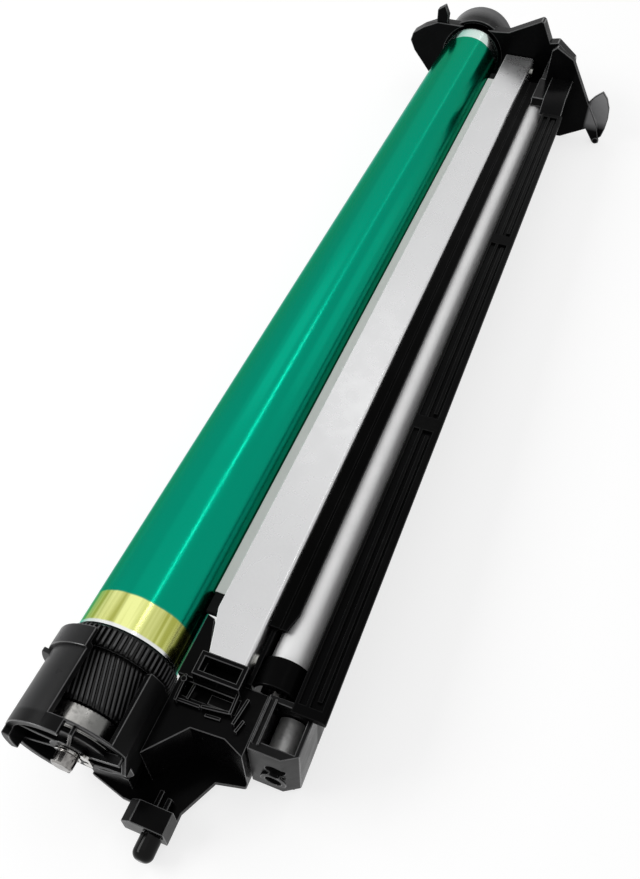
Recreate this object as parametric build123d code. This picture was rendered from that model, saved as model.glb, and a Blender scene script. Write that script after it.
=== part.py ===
from build123d import *
import math
import os

# Printer drum unit, in millimetres.
# Origin: on the drum axis, at the middle of the drive-end journal of the drum shaft.
# +Y runs along the drum to the far end, +Z is up, +X points to the cleaning side.

# Drum tube and its shaft
drum_r = 15.0
drum_wall = 0.75
tube_len = 367.5
tube_y0 = 30.7
tube_y1 = tube_y0 + tube_len
shaft_r = 3.0
shaft_fit = 0.03
shaft_stub = 1.8
shaft_far_stub = 4.5
bearing_r = 9.5
bearing_width = 6.0
floor_z = -22.0
wall = 1.6
gap = 0.3
press = 0.02

# Drive flange: ring gear next to the tube, helical gear outside it
gear_module = 0.5
ring_teeth = 62
idler_teeth = 22
auger_teeth = 24
gear_width = 5.0
gear_backlash = 0.14
ring_gap = 0.8
helical_teeth = 62
helical_module = 0.425
helical_width = 14.0
helix_deg = 16.0
flange_spigot = 9.0

# Auger and metal roller
auger_x = 29.6
auger_z = -12.5
auger_r = 4.3
auger_core_r = 1.9
auger_journal_r = 1.5
auger_pitch = 26.0
auger_blade = 1.4
auger_clear = 0.5
roller_x = 41.9
roller_z = -3.5
roller_r = 5.6
roller_wall = 1.0
roller_shaft_r = 2.0
roller_clear = 0.5
roller_gear_teeth = 16
coupling_angle = -36.0
coupling_r = 4.0

# Cleaning blade and its bracket
bracket_x0 = 18.6
bracket_x1 = 33.2
bracket_top = 4.5
bracket_t = 1.6
bracket_flange = 9.0
bracket_inset = 6.6
bracket_chamfer_y = 13.0
bracket_chamfer_x = 3.8
blade_t = 1.9
blade_under = 4.0
blade_inset = 24.5
foam_len = 6.0
foam_gap = 0.5

# Frame, rail and cover strip
frame_inset = 3.0
frame_right = 54.4
rib_pitch = 40.0
strip_x1 = 40.2
strip_t = 1.4
strip_inset = 20.0
rail_x0 = 48.3
rail_x1 = 57.9
rail_t = 2.0
rail_post_pitch = 93.0

# Near end: shroud, housing, end block, locating pin
shroud_r = 17.2
shroud_wall = 2.2
shroud_cut = 1.1
shroud_end = 26.3
lip_r = 18.3
window_from = 40.0
window_to = 100.0
deck_z = 0.0
deck_t = 2.0
pin_r = 2.9
pin_x = 24.0
pin_z = -17.6
pin_out = 6.4
pin_root_r = 2.2
block_x0 = 41.2
block_top = 1.6
block_front = 12.0

# Far end
cap_r = 17.4
cap_gap = 4.6
cap_len = 18.0
ear_gap = 2.0
rail_far = 29.0
wing_y = 22.0
wing_t = 3.0

# Worked out from the sizes above
frame_y0 = tube_y0 + frame_inset
frame_y1 = tube_y1 - wing_y
bracket_y0 = tube_y0 + bracket_inset
bracket_y1 = tube_y1 + ear_gap - 0.8
bracket_under = bracket_top - bracket_t
blade_bottom = bracket_under - blade_t
gear_y1 = tube_y0 - ring_gap
gear_y0 = gear_y1 - gear_width
ring_pitch_r = gear_module * ring_teeth / 2
idler_pitch_r = gear_module * idler_teeth / 2
auger_gear_r = gear_module * auger_teeth / 2
tooth_height = gear_module
auger_bay_r = auger_r + auger_clear
roller_bay_r = roller_r + roller_clear
partition_x0 = auger_x + auger_bay_r
partition_x1 = roller_x - roller_bay_r
strip_z = bracket_under - 0.7
shroud_y0 = tube_y0 - shroud_end
shroud_flat = shroud_r - shroud_cut
shroud_in_r = shroud_r - shroud_wall
shroud_y1 = gear_y0 - 0.7
spider_y0 = shroud_y0 - 2.2
cap_y0 = tube_y1 + cap_gap
cap_y1 = cap_y0 + cap_len
block_y0 = tube_y0 - block_front
gear_distance = gear_module * roller_gear_teeth
coupling_x = roller_x + gear_distance * math.cos(math.radians(coupling_angle))
coupling_z = roller_z + gear_distance * math.sin(math.radians(coupling_angle))


def idler_centre():
    """Place of the idler so that it meshes with the ring gear and the auger gear."""
    reach = math.hypot(auger_x, auger_z)
    first = ring_pitch_r + idler_pitch_r
    second = idler_pitch_r + auger_gear_r
    along = (first**2 - second**2 + reach**2) / (2 * reach)
    side = math.sqrt(max(first**2 - along**2, 0.0))
    ux, uz = auger_x / reach, auger_z / reach
    return along * ux + side * uz, along * uz - side * ux


idler_x, idler_z = idler_centre()


def cyl(r, y0, y1, x=0.0, z=0.0):
    """Cylinder along Y."""
    return Pos(x, (y0 + y1) / 2, z) * Rot(90, 0, 0) * Cylinder(r, y1 - y0)


def block(x0, x1, y0, y1, z0, z1):
    """Box from its two corners."""
    return Pos((x0 + x1) / 2, (y0 + y1) / 2, (z0 + z1) / 2) * Box(x1 - x0, y1 - y0, z1 - z0)


def rib_between(x0, z0, x1, z1, y0, y1, t):
    """Straight rib of thickness t between two points of the section."""
    turn = bearing_angle(x0, z0, x1, z1)
    return Pos(x0, 0, z0) * Rot(0, -turn, 0) * block(0, math.hypot(x1 - x0, z1 - z0), y0, y1, -t / 2, t / 2)


def section_plane(y):
    """Plane across the unit at y, with local x along X and local y along Z."""
    return Plane(origin=(0, y, 0), x_dir=(1, 0, 0), z_dir=(0, -1, 0))


def across(shape, y0, y1):
    """Extrude a section drawn in X and Z from y0 to y1."""
    return extrude(section_plane(y1) * shape, y1 - y0)


def across_points(points, y0, y1):
    """Extrude a closed outline of X and Z points from y0 to y1."""
    return across(make_face(Polyline(*points, close=True)), y0, y1)


def plan(points, z0, z1):
    """Extrude a closed outline of X and Y points from z0 to z1."""
    return extrude(Pos(0, 0, z0) * make_face(Polyline(*points, close=True)), z1 - z0)


def lengthwise(points, x0, x1):
    """Extrude a closed outline of Y and Z points from x0 to x1."""
    plane = Plane(origin=(x0, 0, 0), x_dir=(0, 1, 0), z_dir=(1, 0, 0))
    return extrude(plane * make_face(Polyline(*points, close=True)), x1 - x0)


def sector(r, a0, a1, y0, y1):
    """Pie slice about the drum axis between two angles, for cutting windows."""
    steps = max(2, math.ceil((a1 - a0) / 30))
    far = r / math.cos(math.radians((a1 - a0) / steps / 2))
    points = [(0.0, 0.0)]
    for i in range(steps + 1):
        a = math.radians(a0 + (a1 - a0) * i / steps)
        points.append((far * math.cos(a), far * math.sin(a)))
    return across_points(points, y0, y1)


def tooth_outline(teeth, module, phase):
    """Outline of a spur gear with straight-flanked teeth, first tooth at phase degrees."""
    pitch_r = module * teeth / 2
    tip_r = pitch_r + module
    root_r = pitch_r - 1.2 * module
    half = math.pi / (2 * teeth) - gear_backlash / (2 * pitch_r)
    slope = math.tan(math.radians(20))
    half_tip = half - module * slope / pitch_r
    half_root = half + 0.9 * module * slope / pitch_r
    points = []
    for i in range(teeth):
        a = math.radians(phase) + 2 * math.pi * i / teeth
        for r, h in ((root_r, -half_root), (tip_r, -half_tip), (tip_r, half_tip), (root_r, half_root)):
            points.append((r * math.cos(a + h), r * math.sin(a + h)))
    return make_face(Polyline(*points, close=True))


def bearing_angle(x0, z0, x1, z1):
    """Direction from one gear centre to the next, in degrees."""
    return math.degrees(math.atan2(z1 - z0, x1 - x0))


def mesh_phase(phase, teeth, direction, next_teeth):
    """Phase of the next gear so that its gap faces the tooth of this one."""
    pitch = 360 / teeth
    past = ((direction - phase) / pitch) % 1.0
    return direction + 180 + (past + 0.5) * 360 / next_teeth


ring_phase = bearing_angle(0, 0, idler_x, idler_z)
idler_phase = mesh_phase(ring_phase, ring_teeth, ring_phase, idler_teeth)
to_auger = bearing_angle(idler_x, idler_z, auger_x, auger_z)
auger_phase = mesh_phase(idler_phase, idler_teeth, to_auger, auger_teeth)
roller_phase = 0.0
coupling_phase = mesh_phase(roller_phase, roller_gear_teeth, coupling_angle, roller_gear_teeth)


def drum_tube():
    return cyl(drum_r, tube_y0, tube_y1) - cyl(drum_r - drum_wall, tube_y0, tube_y1)


def drive_flange():
    """One moulding: spigot in the tube, ring gear, helical gear and hub."""
    spigot_r = drum_r - drum_wall - press
    body = cyl(spigot_r, gear_y1, tube_y0 + flange_spigot)
    body += across(tooth_outline(ring_teeth, gear_module, ring_phase), gear_y0, gear_y1)
    helical_r = helical_module * helical_teeth / 2
    twist = math.degrees(helical_width * math.tan(math.radians(helix_deg)) / helical_r)
    face = tooth_outline(helical_teeth, helical_module, 90.0).face()
    length = helical_width
    helical = Solid.extrude_linear_with_rotation(face, (0, 0, 0), (0, 0, length), -twist)
    body += Pos(0, gear_y0, 0) * Rot(90, 0, 0) * helical
    bore = cyl(shaft_r + press, gear_y0 - helical_width, tube_y0 + flange_spigot)
    pocket = cyl(spigot_r - 2 * wall, tube_y0 + wall, tube_y0 + flange_spigot)
    pocket -= cyl(shaft_r + wall + 1.0, tube_y0 + wall, tube_y0 + flange_spigot)
    outer_pocket = cyl(helical_r - 3.0, gear_y0 - helical_width, gear_y0 - helical_width + 2.0)
    outer_pocket -= cyl(shaft_r + wall + 1.0, gear_y0 - helical_width, gear_y0 - helical_width + 2.0)
    return body - bore - pocket - outer_pocket


def far_flange():
    """Plain flange in the tube's far end."""
    spigot_r = drum_r - drum_wall - press
    body = cyl(spigot_r, tube_y1 - flange_spigot, tube_y1)
    body += cyl(drum_r - 0.2, tube_y1, tube_y1 + wall)
    body += cyl(shaft_r + wall + 1.5, tube_y1, tube_y1 + 2 * wall)
    pocket = cyl(spigot_r - 2 * wall, tube_y1 - flange_spigot, tube_y1 - wall)
    pocket -= cyl(shaft_r + wall + 1.0, tube_y1 - flange_spigot, tube_y1 - wall)
    return body - pocket - cyl(shaft_r + press, tube_y1 - flange_spigot, tube_y1 + 2 * wall)


# Ribs of the shroud's bearing end, as X and Z of both ends
shroud_ribs = [
    (-2.0, 4.2, 0.4 - shroud_in_r, 5.6),
    (-4.0, -0.6, -0.2 - shroud_in_r, -5.0),
    (0.6, 3.6, 4.3, shroud_in_r + 0.2),
    (4.0, 1.4, shroud_in_r + 0.4, 5.2),
    (4.0, -3.2, shroud_in_r + 0.6, -0.6),
    (-1.6, -4.4, -5.4, 0.2 - shroud_in_r),
]

near_bearing_y1 = gear_y0 - helical_width - gap
near_bearing_y0 = near_bearing_y1 - bearing_width
far_bearing_y0 = tube_y1 + 2 * wall + gap
far_bearing_y1 = far_bearing_y0 + bearing_width
clip_y1 = spider_y0 - 0.2
clip_t = 0.6
shaft_y0 = -shaft_stub
shaft_y1 = cap_y1 + shaft_far_stub


def drum_shaft():
    """Through shaft with a clip groove at each end and chamfered tips."""
    shaft = cyl(shaft_r, shaft_y0, shaft_y1)
    for y0, y1 in ((clip_y1 - clip_t - 0.1, clip_y1 + 0.1), (cap_y1 - 0.6, cap_y1 + 0.2)):
        shaft -= cyl(shaft_r + 1, y0, y1) - cyl(shaft_r - 0.5, y0, y1)
    ends = shaft.edges().filter_by(GeomType.CIRCLE).sort_by(Axis.Y)
    return chamfer([ends[0], ends[-1]], 0.5)


def shaft_clip():
    """Snap clip in the shaft groove: an open ring with three inward prongs."""
    outer = Circle(3.9) - Circle(3.3)
    for a in (0, 110, 250):
        outer += Rot(0, 0, a) * Pos(3.0, 0) * Rectangle(0.9, 1.6)
    outer -= Circle(shaft_r - 0.5 + 0.05)
    outer -= make_face(Polyline((0.5, 0), (-7, -4.5), (-7, 4.5), close=True))
    return across(outer, clip_y1 - clip_t, clip_y1)


def ball_bearing(y0, y1):
    """Shielded bearing with the groove between its rings."""
    ring = cyl(bearing_r, y0, y1) - cyl(shaft_r + shaft_fit, y0, y1)
    for a, b in ((y0, y0 + 0.3), (y1 - 0.3, y1)):
        ring -= cyl(bearing_r - 0.8, a, b) - cyl(shaft_r + 0.9, a, b)
    return ring


def earth_contact():
    """Earthing leaf on the hub's end: two round lobes beside the shaft, joined on their outer side."""
    leaf = Pos(5.5, 1.9) * Circle(1.3) + Pos(5.5, -1.9) * Circle(1.3)
    leaf += Pos(6.4, 0) * Rectangle(0.8, 3.8)
    leaf += Pos(5.0, 3.4) * Rectangle(0.9, 1.6)
    leaf -= Circle(shaft_r + 1.2)
    return across(leaf, spider_y0 - 0.7, spider_y0)


def gear_shroud():
    """Round cover over the helical gear, with a drive window and a ribbed bearing end."""
    rim_y0 = spider_y0 - 1.2
    seat_r = bearing_r + 1.4
    body = cyl(shroud_r, shroud_y0, shroud_y1 + gap / 3)
    body += cyl(shroud_r, rim_y0, shroud_y0) & sector(shroud_r + 4, 84, 258, rim_y0 - 1, tube_y0)
    for r, y0, y1, a0, a1 in (
        (lip_r, shroud_y1 - 2.0, tube_y0 - 2.8, window_to, 240),
        (lip_r + 1.2, shroud_y1 - 3.4, shroud_y1 - 1.9, 160, 205),
        (shroud_r, shroud_y0 - 5.2, shroud_y0, 163, 196),
    ):
        body += cyl(r, y0, y1) & sector(r + 3, a0, a1, y0 - 1, y1 + 1)
    body += block(1.0, 13.0, shroud_y0, shroud_y1, floor_z + wall, -13.0)
    body -= cyl(shroud_in_r, shroud_y0 - 6, shroud_y1)
    body -= cyl(shroud_r - 0.4, shroud_y1, tube_y0)
    body -= block(shroud_flat, shroud_r + 1, shroud_y0 - 6, shroud_y1 + 1, -shroud_r, shroud_r)
    corner = [(shroud_y0 + 1, 6.2), (shroud_y0, 6.2), (spider_y0, 0.2), (spider_y0, -1.2)]
    corner.append((shroud_y0 + 1, -1.2))
    body += lengthwise(corner, shroud_flat - 1.3, shroud_flat)
    seat = cyl(seat_r, near_bearing_y0 - 1.2, near_bearing_y1)
    seat += cyl(5.6, spider_y0, near_bearing_y0)
    body += seat
    for x0, z0, x1, z1 in shroud_ribs:
        body += rib_between(x0, z0, x1, z1, spider_y0, shroud_y0 + 0.4, 1.1)
    body -= sector(lip_r + 4, window_from, window_to, shroud_y0 + 0.6, tube_y0)
    body -= cyl(bearing_r + press, near_bearing_y0, near_bearing_y1 + 1)
    return body - cyl(shaft_r + 0.25, spider_y0 - 1, near_bearing_y1)


def idler_gear():
    face = tooth_outline(idler_teeth, gear_module, idler_phase)
    gear = Pos(idler_x, 0, idler_z) * across(face, gear_y0 + 0.2, gear_y1 - 0.2)
    return gear - cyl(1.5 + shaft_fit, gear_y0, gear_y1, idler_x, idler_z)


partition_y0 = gear_y0 - gap - 2 * wall
partition_y1 = gear_y0 - gap


def idler_pin():
    """Stud that the idler turns on, held in the housing's inner wall."""
    stud = cyl(1.5, partition_y0, gear_y1 + 0.2, idler_x, idler_z)
    return stud + cyl(2.6, gear_y1 + 0.2, gear_y1 + 1.0, idler_x, idler_z)


def auger():
    """Waste screw: a turned core with one helical blade and two journals."""
    y0 = frame_y0 + 2 * wall
    y1 = frame_y1 - 2 * wall
    core = cyl(auger_core_r, y0, y1)
    reach = auger_r - auger_core_r + 0.6
    face = (Pos(auger_r - reach / 2, 0) * Rectangle(reach, auger_blade)).face()
    blade_len = y1 - y0 - 2 * wall
    turn = 360 * blade_len / auger_pitch
    blade = Solid.extrude_linear_with_rotation(face, (0, 0, 0), (0, 0, blade_len), turn)
    body = core + Pos(0, y1 - wall, 0) * Rot(90, 0, 0) * blade
    body += cyl(auger_journal_r, gear_y0, y0)
    body += cyl(auger_journal_r, y1, frame_y1 - gap)
    return Pos(auger_x, 0, auger_z) * body


def auger_gear():
    face = tooth_outline(auger_teeth, gear_module, auger_phase)
    gear = Pos(auger_x, 0, auger_z) * across(face, gear_y0 + 0.2, gear_y1 - 0.2)
    return gear - cyl(auger_journal_r + press, gear_y0, gear_y1, auger_x, auger_z)


roller_y0 = frame_y0 + 8.0
roller_y1 = frame_y1 - 6.0
roller_gear_y0 = frame_y0 + 1.4
roller_gear_y1 = roller_gear_y0 + 3.4


def steel_roller():
    """Hollow metal roller with turned end plugs."""
    tube = cyl(roller_r, roller_y0, roller_y1) - cyl(roller_r - roller_wall, roller_y0 + 3, roller_y1 - 3)
    return Pos(roller_x, 0, roller_z) * (tube - cyl(roller_shaft_r + press, roller_y0, roller_y1))


def roller_shaft():
    return cyl(roller_shaft_r, frame_y0 + 0.6, frame_y1 - gap, roller_x, roller_z)


def roller_gear():
    face = tooth_outline(roller_gear_teeth, gear_module, roller_phase)
    gear = Pos(roller_x, 0, roller_z) * across(face, roller_gear_y0, roller_gear_y1)
    return gear - cyl(roller_shaft_r + press, roller_gear_y0, roller_gear_y1, roller_x, roller_z)


def roller_bearing(y0, y1):
    """Moulded bush that seats in the frame's roller bay."""
    bush = cyl(roller_bay_r - press, y0, y1, roller_x, roller_z)
    bush -= block(roller_x - 8, roller_x + 8, y0, y1, strip_z - 0.1, strip_z + 5)
    return bush - cyl(roller_shaft_r + shaft_fit, y0, y1, roller_x, roller_z)


def coupling_shaft():
    """Steel coupling: a thick sleeve seen through the block's window, thin at both ends."""
    body = cyl(coupling_r, block_y0 + 3.1, frame_y0 - wall - gap)
    body += cyl(2.2, block_y0 + 1.6, block_y0 + 3.1)
    body += cyl(roller_shaft_r, frame_y0 - wall - gap, roller_gear_y1)
    slot = block(-0.6, 0.6, block_y0 + 1.6, block_y0 + 2.4, -3, 3)
    return Pos(coupling_x, 0, coupling_z) * (body - slot)


def coupling_gear():
    face = tooth_outline(roller_gear_teeth, gear_module, coupling_phase)
    gear = Pos(coupling_x, 0, coupling_z) * across(face, roller_gear_y0, roller_gear_y1)
    bore = cyl(roller_shaft_r + press, roller_gear_y0, roller_gear_y1, coupling_x, coupling_z)
    return gear - bore


def blade_bracket():
    """Folded steel angle that carries the blade, with its near corner cut away."""
    outline = [
        (bracket_x0, bracket_top),
        (bracket_x1, bracket_top),
        (bracket_x1, bracket_top - bracket_flange),
        (bracket_x1 - bracket_t, bracket_top - bracket_flange),
        (bracket_x1 - bracket_t, bracket_under),
        (bracket_x0, bracket_under),
    ]
    body = across_points(outline, bracket_y0, bracket_y1)
    bend = body.edges().filter_by(Axis.Y).sort_by(lambda e: e.center().X + e.center().Z)[-1]
    body = fillet(bend, bracket_t * 0.75)
    corner = [
        (bracket_x0 - 1, bracket_y0 + bracket_chamfer_y),
        (bracket_x0, bracket_y0 + bracket_chamfer_y),
        (bracket_x0 + bracket_chamfer_x, bracket_y0 - 1),
        (bracket_x0 - 1, bracket_y0 - 1),
    ]
    body -= plan(corner, bracket_under - 1, bracket_top + 1)
    for y in (screw_near_y, screw_far_y):
        body -= Pos(bracket_x1, y, screw_z) * Rot(0, 90, 0) * Cylinder(1.4, 4 * bracket_t)
    return body


screw_z = bracket_under - 3.4
screw_near_y = bracket_y0 + 4.0
screw_far_y = bracket_y1 - 5.0
blade_tip_x = math.sqrt(drum_r**2 - blade_bottom**2) + gap / 3


def cleaning_blade():
    """Urethane strip bonded under the bracket, its free edge at the drum."""
    x1 = bracket_x0 + blade_under
    return block(blade_tip_x, x1, tube_y0 + blade_inset, tube_y1 - blade_inset, blade_bottom, bracket_under)


def seal_foam(y0, y1):
    """Foam pad that closes the corner beside the blade."""
    return block(blade_tip_x + 0.2, bracket_x0 + blade_under, y0, y1, blade_bottom, bracket_under)


def bracket_screws():
    """Two pan-head screws through the bracket's flange."""
    screws = []
    for y in (screw_near_y, screw_far_y):
        shank = Pos(bracket_x1 - 2.6, y, screw_z) * Rot(0, 90, 0) * Cylinder(1.2, 5.2)
        head = Pos(bracket_x1 + 0.5, y, screw_z) * Rot(0, 90, 0) * Cylinder(2.4, 1.0)
        cross = Pos(bracket_x1 + 0.9, y, screw_z) * (Box(0.6, 2.6, 0.6) + Box(0.6, 0.6, 2.6))
        screws.append(shank + head - cross)
    return Compound(children=[s.solid() for s in screws])


foot_x = 20.5
lip_x = drum_r + 0.9
lip_top = -8.4
chute_z = -14.4


def frame_outline():
    """Full cross-section of the frame, filled."""
    return make_face(
        Polyline(
            (lip_x, lip_top),
            (lip_x + wall, lip_top),
            (partition_x0, strip_z),
            (frame_right, strip_z),
            (frame_right, floor_z),
            (foot_x, floor_z),
            (foot_x, chute_z - 3.2),
            (lip_x, lip_top - 3.6),
            close=True,
        )
    )


def bay_cut():
    """The open channels: chute, auger bay and roller bay."""
    mouth = make_face(
        Polyline(
            (lip_x + wall, 30),
            (lip_x + wall, lip_top - 1.6),
            (auger_x - auger_bay_r + 0.4, chute_z),
            (auger_x, auger_z),
            (partition_x0, auger_z),
            (partition_x0, 30),
            close=True,
        )
    )
    roller_mouth = Pos(roller_x, roller_z + 10) * Rectangle(2 * roller_bay_r, 20)
    cut = mouth + Pos(auger_x, auger_z) * Circle(auger_bay_r)
    return cut + roller_mouth + Pos(roller_x, roller_z) * Circle(roller_bay_r)


def frame_shell():
    """Thin-walled cross-section that runs the whole length."""
    skin = Pos(auger_x, auger_z) * Circle(auger_bay_r + wall)
    skin += Pos(roller_x, roller_z) * Circle(roller_bay_r + wall)
    skin += make_face(
        Polyline(
            (lip_x, lip_top),
            (lip_x + wall, lip_top),
            (lip_x + wall, lip_top - 1.6),
            (auger_x - auger_bay_r + 0.4, chute_z),
            (auger_x - auger_bay_r + 0.4, chute_z - 2.6),
            (lip_x, lip_top - 3.6),
            close=True,
        )
    )
    top = Pos((partition_x0 + partition_x1) / 2, (auger_z + strip_z) / 2)
    skin += top * Rectangle(partition_x1 - partition_x0, strip_z - auger_z)
    bay_right = roller_x + roller_bay_r
    skin += Pos(bay_right + wall / 2, (roller_z + strip_z) / 2) * Rectangle(wall, strip_z - roller_z)
    flange_w = frame_right - bay_right
    skin += Pos(bay_right + flange_w / 2, strip_z - wall / 2) * Rectangle(flange_w, wall)
    skin += Pos(frame_right - wall / 2, (strip_z + floor_z) / 2) * Rectangle(wall, strip_z - floor_z)
    return (skin & frame_outline()) - bay_cut()


def main_frame():
    """Long moulded carrier: open channels on top, transverse ribs that it stands on."""
    body = across(frame_shell(), frame_y0, frame_y1)
    web = frame_outline() - bay_cut()
    span = frame_y1 - frame_y0 - 2 * wall
    count = max(2, round(span / rib_pitch))
    for i in range(1, count):
        y = frame_y0 + wall + span * i / count
        body += across(web, y - wall / 2, y + wall / 2)
    end_face = frame_outline() - Pos(roller_x, roller_z) * Circle(roller_bay_r)
    end_face -= Pos(roller_x, roller_z + 10) * Rectangle(2 * roller_bay_r, 20)
    chute_open = Polyline(
        (lip_x + wall, 30),
        (lip_x + wall, lip_top),
        (auger_x - auger_bay_r, auger_z + auger_bay_r + wall),
        (partition_x0, auger_z + auger_bay_r + wall),
        (partition_x0, 30),
        close=True,
    )
    end_face -= make_face(chute_open)
    body += across(end_face, frame_y0, frame_y0 + 2 * wall - gap)
    body += across(end_face, frame_y1 - 2 * wall + gap, frame_y1)
    journal = auger_journal_r + shaft_fit
    body -= cyl(journal, frame_y0 - 1, frame_y0 + 2 * wall, auger_x, auger_z)
    body -= cyl(journal, frame_y1 - 2 * wall, frame_y1 + 1, auger_x, auger_z)
    gear_room = roller_gear_y1 + gap
    body -= block(partition_x1, frame_right - 1.1, frame_y0 - 1, gear_room, coupling_z - 6.0, strip_z + 1)
    hood = Circle(roller_bay_r + 1.3) - Circle(roller_bay_r)
    hood &= make_face(Polyline((0, 0), (12, 5.5), (12, 12), (-12, 12), (-12, 0), close=True))
    return body + across(Pos(roller_x, roller_z) * hood, frame_y0 + 1.2, roller_y0 + 1.6)


def cover_strip():
    """Black strip over the auger channel, its near outer corner cut."""
    y0 = tube_y0 + strip_inset
    x0 = bracket_x1 + gap
    strip = block(x0, strip_x1, y0, frame_y1, strip_z, strip_z + strip_t)
    middle = (x0 + strip_x1) / 2
    groove_z = strip_z + strip_t - 0.3
    strip -= block(middle - 0.3, middle + 0.3, y0 - 1, frame_y1 + 1, groove_z, groove_z + 1)
    corner = [(strip_x1 - 1.8, y0 - 1), (strip_x1 + 1, y0 - 1), (strip_x1 + 1, y0 + 6), (strip_x1, y0 + 6)]
    return strip - plan(corner, strip_z - 1, strip_z + strip_t + 1)


def outer_rail():
    """Guide rail along the outer edge: a flat top with long grooves, beads and a skirt."""
    y0 = tube_y0 - 0.5
    y1 = frame_y1 - rail_far
    top_z = strip_z + rail_t
    rail = block(rail_x0, rail_x1, y0, y1, strip_z, top_z)
    skirt_x = frame_right + gap
    rail += block(skirt_x, skirt_x + 1.5, frame_y0 + 1.0, y1, strip_z - 10, strip_z)
    edge = rail.edges().filter_by(Axis.Y).sort_by(lambda e: e.center().X + e.center().Z)[-1]
    rail = fillet(edge, rail_t * 0.6)
    posts = max(2, round((y1 - y0) / rail_post_pitch))
    pitch = (y1 - y0) / posts
    for i in range(posts):
        a = y0 + i * pitch + 3.0
        b = y0 + (i + 1) * pitch - 3.0
        rail -= block(rail_x0 + 1.2, rail_x0 + 3.0, a, b, top_z - 0.9, top_z + 1)
        rail -= block(rail_x0 + 4.2, rail_x1 - 2.2, a, b, top_z - 1.2, top_z + 1)
        rail += block(rail_x0 + 5.4, rail_x0 + 6.8, a + 2, b - 2, top_z - 1.3, top_z - 0.1)
    return rail


housing_x0 = shroud_flat + gap
housing_x1 = block_x0 - 0.4
deck_front = [(housing_x0, -22.4), (25.3, -12.1), (34.7, -11.6), (40.8, -14.2)]
floor_front = [(11.4, -29.2), (14.6, -29.2), (15.1, -34.0), (20.3, -35.2), (27.7, -35.2), (27.7, -27.2)]


def at_tube(points):
    """Plan points given from the tube's near edge."""
    return [(x, tube_y0 + y) for x, y in points]


def near_end_housing():
    """Moulded end: deck with a bay, walls, floor tongue, clamp cup and drum-side ledge."""
    back = frame_y0
    deck = at_tube(deck_front) + [(housing_x1, back), (housing_x0, back)]
    body = plan(deck, deck_z - deck_t, deck_z)
    outer = plan(deck, floor_z, deck_z - deck_t)
    inner = [
        (housing_x0 + wall, tube_y0 - 18.6),
        (26.2, tube_y0 - 12.1 + wall),
        (34.4, tube_y0 - 11.6 + wall),
        (housing_x1 - wall, tube_y0 - 14.2 + 1.6 * wall),
        (housing_x1 - wall, back + 1),
        (housing_x0 + wall, back + 1),
    ]
    body += outer - plan(inner, floor_z - 1, deck_z)
    tongue = at_tube([(0.6, -8.0), (0.6, -26.6)] + floor_front + [(32.7, -16.9), (40.8, -15.1)])
    tongue += [(housing_x1, back), (housing_x0, back), (housing_x0, tube_y0 - 7.0)]
    body += plan(tongue, floor_z, floor_z + wall)
    body += block(housing_x0, housing_x1, partition_y0, partition_y1, floor_z, deck_z - deck_t)
    bracket = block(15.1, 27.7, tube_y0 - 35.2, tube_y0 - 29.2, floor_z, pin_z + 4.6)
    slope = bracket.edges().filter_by(Axis.Y).sort_by(lambda e: e.center().Z - e.center().X)[-1]
    body += chamfer(slope, 3.0)
    body += block(pin_x - 0.5, pin_x + 0.9, tube_y0 - 29.2, tube_y0 - 25.5, floor_z, -16.8)
    body += block(20.3, 21.7, tube_y0 - 29.2, tube_y0 - 24.0, floor_z, -18.5)
    cup_y1 = bracket_y0 - gap
    body += block(20.5, partition_x0 - gap, tube_y0 - 0.6, cup_y1, deck_z - deck_t, deck_z + 5.4)
    body -= block(22.0, partition_x0 - gap - 1.5, tube_y0 + 0.9, cup_y1 - 1.4, deck_z - 0.8, deck_z + 7)
    pad_top = bracket_under
    body += block(24.4, bracket_x1 - bracket_t, cup_y1 - 1.0, bracket_y0 + 8.0, -3.0, pad_top)
    hole = Pos(bracket_x1 - 3.6, screw_near_y, screw_z) * Rot(0, 90, 0) * Cylinder(1.2 + press, 4.2)
    body -= hole
    pit = idler_z + idler_pitch_r + tooth_height + gap
    body += block(18.6, 35.0, tube_y0 - 5.4, tube_y0 - 0.6, pit, deck_z - deck_t)
    body -= block(19.2, 34.4, tube_y0 - 4.9, tube_y0 - 1.1, pit + 1.0, deck_z + 1)
    body += block(26.2, 33.6, tube_y0 - 4.5, tube_y0 - 1.6, pit, deck_z - 1.4)
    ledge_end = blade_inset - foam_len - foam_gap
    ledge = at_tube([(lip_x, -0.4), (22.4, -0.4), (22.4, 5.5), (18.2, ledge_end - 0.6), (lip_x, ledge_end)])
    body += plan(ledge, deck_z - 0.6, deck_z + 1.4)
    body += Pos(18.6, tube_y0 - 1.7, deck_z + 1.2) * Cylinder(0.9, 3.0)
    body -= cyl(pin_root_r + press, tube_y0 - 36, tube_y0 - 29.1, pin_x, pin_z)
    body += cyl(3.0, partition_y0, partition_y1, idler_x, idler_z)
    body -= cyl(idler_pitch_r + tooth_height + gap, partition_y1, gear_y1 + 1.3, idler_x, idler_z)
    body -= cyl(1.5 + press, partition_y0 - 1, partition_y1 + 1, idler_x, idler_z)
    return body


def locating_pin():
    """Bullet-nosed pin that guides the unit into the machine."""
    y_face = tube_y0 - 35.2
    nose = cyl(pin_r, y_face - pin_out, y_face - 0.3, pin_x, pin_z)
    front = nose.edges().filter_by(GeomType.CIRCLE).sort_by(Axis.Y)[0]
    nose = fillet(front, pin_r * 0.72)
    return nose + cyl(pin_root_r, y_face - 0.4, y_face + 5.8, pin_x, pin_z)


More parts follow.
